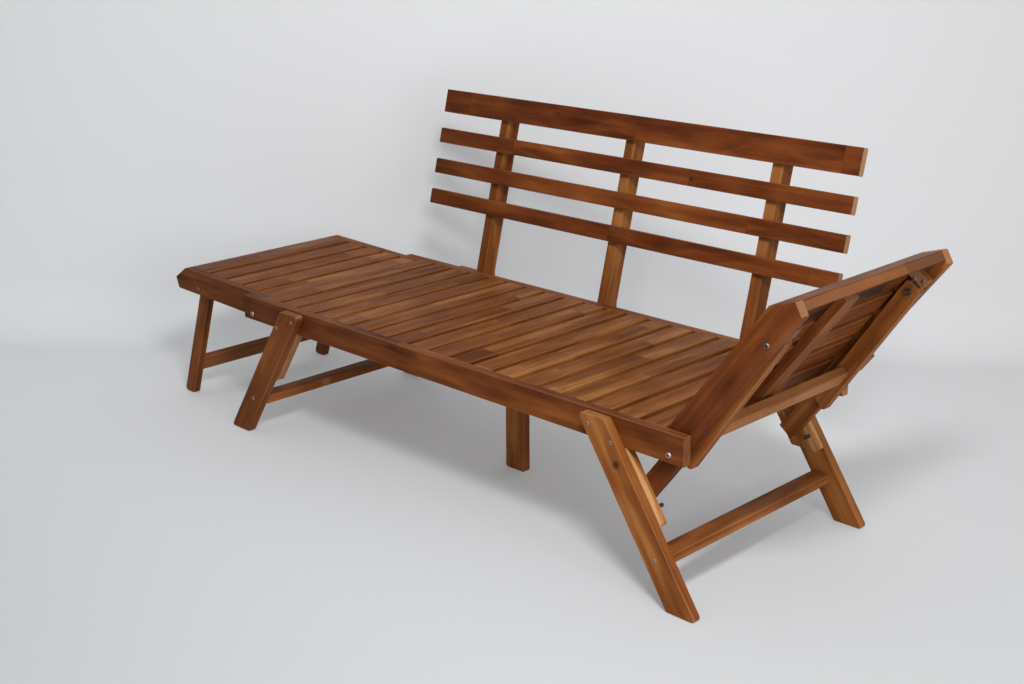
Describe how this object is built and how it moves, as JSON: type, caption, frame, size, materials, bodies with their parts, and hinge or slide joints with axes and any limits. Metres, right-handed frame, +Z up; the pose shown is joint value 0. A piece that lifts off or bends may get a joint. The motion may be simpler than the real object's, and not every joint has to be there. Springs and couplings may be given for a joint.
{
  "type": "convertible picnic table bench",
  "caption": "Slatted wooden garden bench with a backrest whose two end panels turn on slotted rails, from raised armrests down to level side surfaces on folding legs.",
  "frame": {"origin": "on the floor below the middle of the seat, on the flat end of the centre leg", "axes": "+X along the bench to its right end, +Y from front to backrest, +Z up"},
  "size_m": [1.9221, 0.7026, 0.7751],
  "materials": {
    "rail_wood": "oiled reddish hardwood, satin",
    "slat_wood": "oiled reddish hardwood, satin",
    "panel_wood": "oiled reddish hardwood, satin",
    "pale_wood": "oiled hardwood with paler sapwood, satin",
    "steel": "plated steel"
  },
  "bodies": {
    "frame": {"front_rail": "rail_wood", "rear_rail": "rail_wood", "seat_bearers": "slat_wood", "centre_leg": "rail_wood", "seat_slat_01": "slat_wood", "seat_slat_02": "slat_wood", "seat_slat_03": "slat_wood", "seat_slat_04": "slat_wood", "seat_slat_05": "slat_wood", "seat_slat_06": "slat_wood", "seat_slat_07": "slat_wood", "seat_slat_08": "slat_wood", "seat_slat_09": "slat_wood", "seat_slat_10": "slat_wood", "seat_slat_11": "slat_wood", "seat_slat_12": "slat_wood", "seat_slat_13": "slat_wood", "seat_slat_14": "slat_wood", "seat_slat_15": "slat_wood", "seat_slat_16": "slat_wood", "seat_slat_17": "slat_wood", "seat_slat_18": "slat_wood", "seat_slat_19": "slat_wood", "main_leg_front_left": "rail_wood", "main_leg_front_right": "rail_wood", "main_leg_rear_left": "rail_wood", "main_leg_rear_right": "rail_wood", "leg_doublers": "pale_wood", "leg_brace_left": "rail_wood", "leg_brace_right": "rail_wood", "back_post_left": "rail_wood", "back_post_middle": "rail_wood", "back_post_right": "rail_wood", "back_slat_1": "slat_wood", "back_slat_2": "slat_wood", "back_slat_3": "slat_wood", "back_slat_4": "slat_wood", "stop_pegs": "steel"},
    "left_bolts": {"left_hinge_bolts": "steel"},
    "left_panel": {"left_side_rail_front": "panel_wood", "left_side_rail_rear": "panel_wood", "left_panel_slats": "slat_wood", "left_end_boards": "panel_wood", "left_batten": "panel_wood", "left_stop_blocks": "panel_wood"},
    "left_leg_frame": {"left_fold_leg_front": "panel_wood", "left_fold_leg_rear": "panel_wood", "left_fold_brace": "panel_wood", "left_fold_bolts": "steel"},
    "right_bolts": {"right_hinge_bolts": "steel"},
    "right_panel": {"right_side_rail_front": "panel_wood", "right_side_rail_rear": "panel_wood", "right_panel_slats": "slat_wood", "right_end_boards": "panel_wood", "right_batten": "panel_wood", "right_stop_blocks": "panel_wood"},
    "right_leg_frame": {"right_fold_leg_front": "panel_wood", "right_fold_leg_rear": "panel_wood", "right_fold_brace": "panel_wood", "right_fold_bolts": "steel"}
  },
  "joints": [
    {"name": "left_panel_turn", "type": "hinge", "parent": "frame", "child": "left_bolts", "pos_m": [-0.6396, 0, 0.302], "axis": [0, 1, 0], "range_deg": [0, 58.6]},
    {"name": "left_panel_draw", "type": "slide", "parent": "left_bolts", "child": "left_panel", "axis": [-0.9997, 0, 0.0244], "range_m": [0, 0.04933]},
    {"name": "left_leg_fold", "type": "hinge", "parent": "left_panel", "child": "left_leg_frame", "pos_m": [-0.90361, 0, 0.30805], "axis": [0, -1, 0], "range_deg": [0, 105.5]},
    {"name": "right_panel_turn", "type": "hinge", "parent": "frame", "child": "right_bolts", "pos_m": [0.6396, 0, 0.302], "axis": [0, -1, 0], "range_deg": [-51.47, 7.13]},
    {"name": "right_panel_draw", "type": "slide", "parent": "right_bolts", "child": "right_panel", "axis": [0.6036, 0, 0.7973], "range_m": [-0.04333, 0.00601]},
    {"name": "right_leg_fold", "type": "hinge", "parent": "right_panel", "child": "right_leg_frame", "pos_m": [0.82547, 0, 0.54684], "axis": [0, 1, 0], "range_deg": [-105.5, 0]}
  ],
  "couplings": [
    {"joint": "left_panel_draw", "follows": "left_panel_turn", "m_per_rad": 0.048225},
    {"joint": "right_panel_draw", "follows": "right_panel_turn", "m_per_rad": 0.048225}
  ]
}
